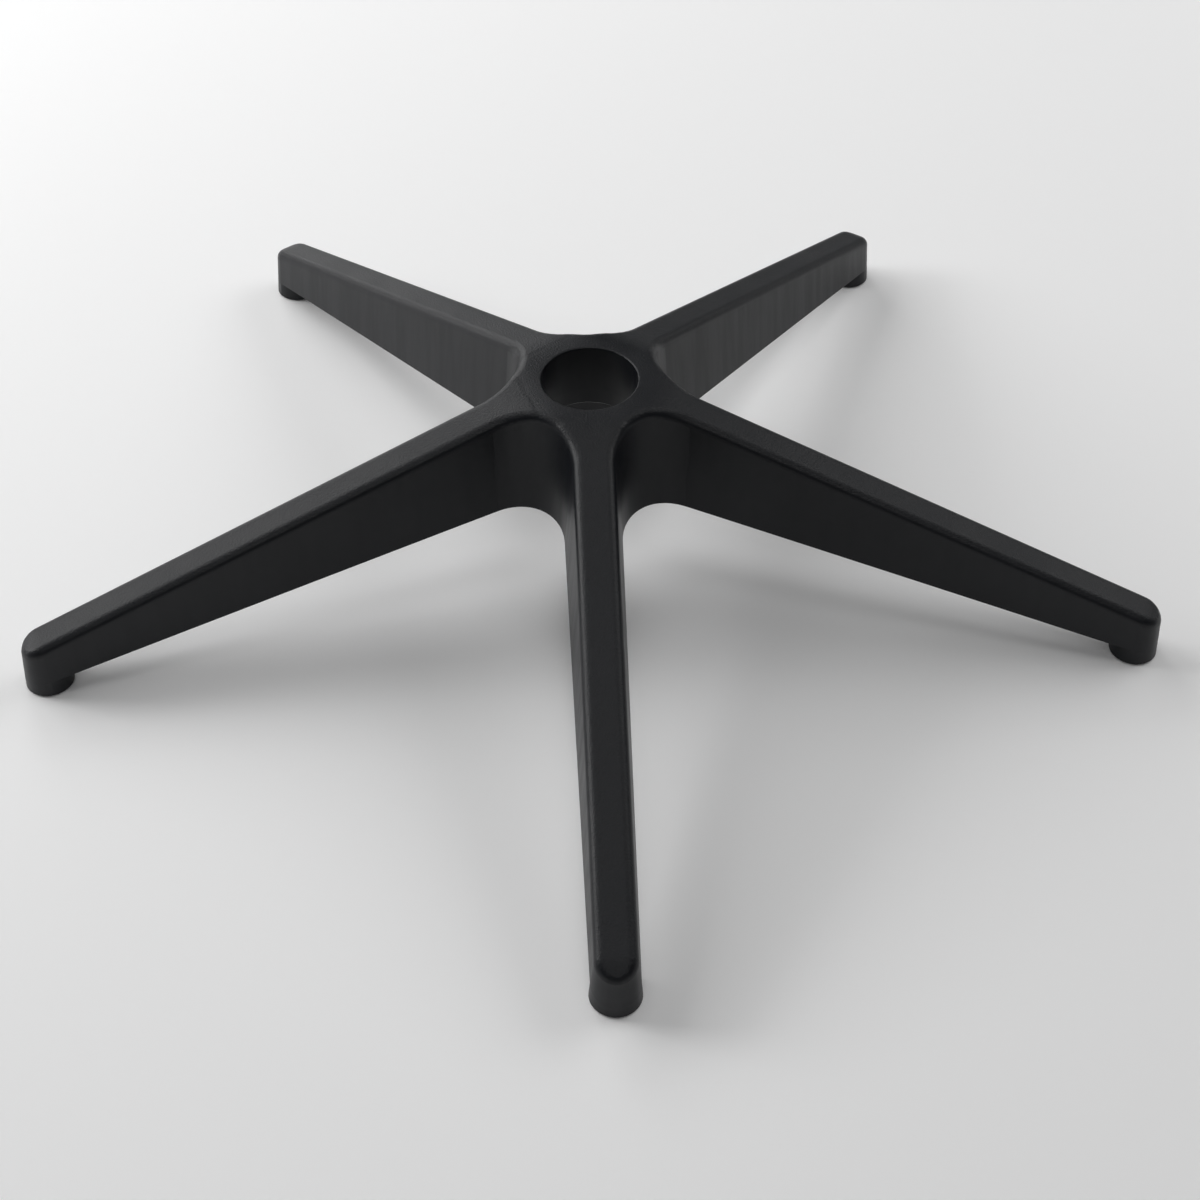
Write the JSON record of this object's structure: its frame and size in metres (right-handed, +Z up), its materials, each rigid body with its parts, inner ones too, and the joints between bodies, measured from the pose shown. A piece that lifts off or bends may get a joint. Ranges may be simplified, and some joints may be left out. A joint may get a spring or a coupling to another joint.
{
  "type": "office chair five star base",
  "caption": "One-piece moulded nylon star base for an office chair: tapered legs flow into a hub with a tapered column seat, ribbed underside, blind caster sockets at the tips.",
  "frame": {"origin": "on the hub axis, in the plane of the caster socket mouths", "axes": "+Z up along the hub axis, first leg along -Y"},
  "size_m": [0.5906, 0.563, 0.117],
  "materials": {
    "black_nylon": "black glass-filled nylon, fine spark-eroded grain on the top, smoother drafted walls"
  },
  "bodies": {
    "root": {"star_base": "black_nylon"}
  },
  "joints": []
}
